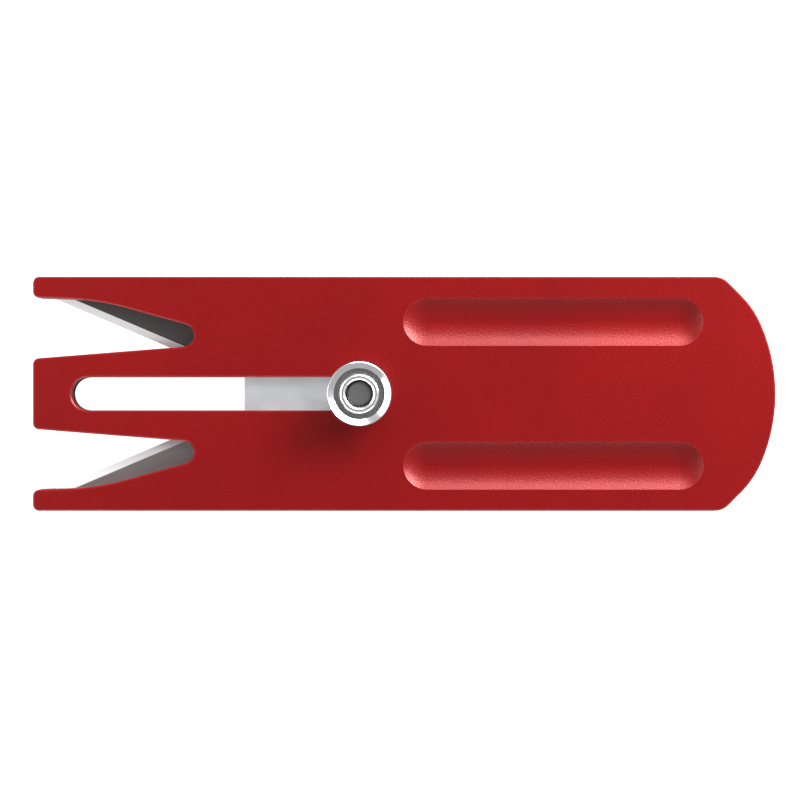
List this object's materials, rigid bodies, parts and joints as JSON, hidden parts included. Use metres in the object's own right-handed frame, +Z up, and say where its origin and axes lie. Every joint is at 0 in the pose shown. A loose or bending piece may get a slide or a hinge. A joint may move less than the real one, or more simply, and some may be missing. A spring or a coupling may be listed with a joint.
{
  "type": "edge tuning tool",
  "caption": "Flat red hand tool with skewed trimming blades in front mouths, a grooved grip and a sliding guide tongue clamped by a knob.",
  "frame": {"origin": "centre of the bounding box's bottom face, on the surface that the tool stands on", "axes": "+X towards the heel of the grip, away from the blade mouths; +Y towards the tool's right side; +Z up"},
  "size_m": [0.156, 0.0492, 0.0241],
  "materials": {
    "red_anodised": "fine-blasted red anodised",
    "blade_steel": "dark coated faces with bare ground bevels",
    "brushed_stainless": "brushed",
    "bright_nickel": "turned and plated",
    "black_oxide": "black oxide",
    "knurled_steel": "knurled, nickel plated",
    "pin_steel": "ground"
  },
  "bodies": {
    "housing": {"upper_plate": "red_anodised", "blade_keeper": "red_anodised", "grip_block": "red_anodised", "right_blade": "blade_steel", "left_blade": "blade_steel", "dowel_pin_front_right": "pin_steel", "dowel_pin_front_left": "pin_steel", "dowel_pin_rear_right": "pin_steel", "dowel_pin_rear_left": "pin_steel", "keeper_screw_front_right": "black_oxide", "keeper_screw_front_left": "black_oxide", "keeper_screw_middle_right": "black_oxide", "keeper_screw_middle_left": "black_oxide", "keeper_screw_rear_right": "black_oxide", "keeper_screw_rear_left": "black_oxide", "grip_screw_front_right": "black_oxide", "grip_screw_front_left": "black_oxide", "grip_screw_rear_right": "black_oxide", "grip_screw_rear_left": "black_oxide"},
    "guide": {"guide_tongue": "brushed_stainless", "sleeve_nut": "bright_nickel", "cup_washer": "bright_nickel"},
    "clamp_washer": {"knob_washer": "knurled_steel"},
    "knob": {"clamp_knob": "knurled_steel", "clamp_stud": "black_oxide"}
  },
  "joints": [
    {"name": "guide_slide", "type": "slide", "parent": "housing", "child": "guide", "axis": [-1, 0, 0], "range_m": [0, 0.057]},
    {"name": "washer_drop", "type": "slide", "parent": "guide", "child": "clamp_washer", "axis": [0, 0, -1], "range_m": [0, 0.0015]},
    {"name": "knob_turn", "type": "hinge", "parent": "clamp_washer", "child": "knob", "pos_m": [-0.0094, 0, 0.005], "axis": [0, 0, -1], "range_deg": [0, 540]}
  ],
  "couplings": [
    {"joint": "washer_drop", "follows": "knob_turn", "m_per_rad": 0.00015915}
  ]
}
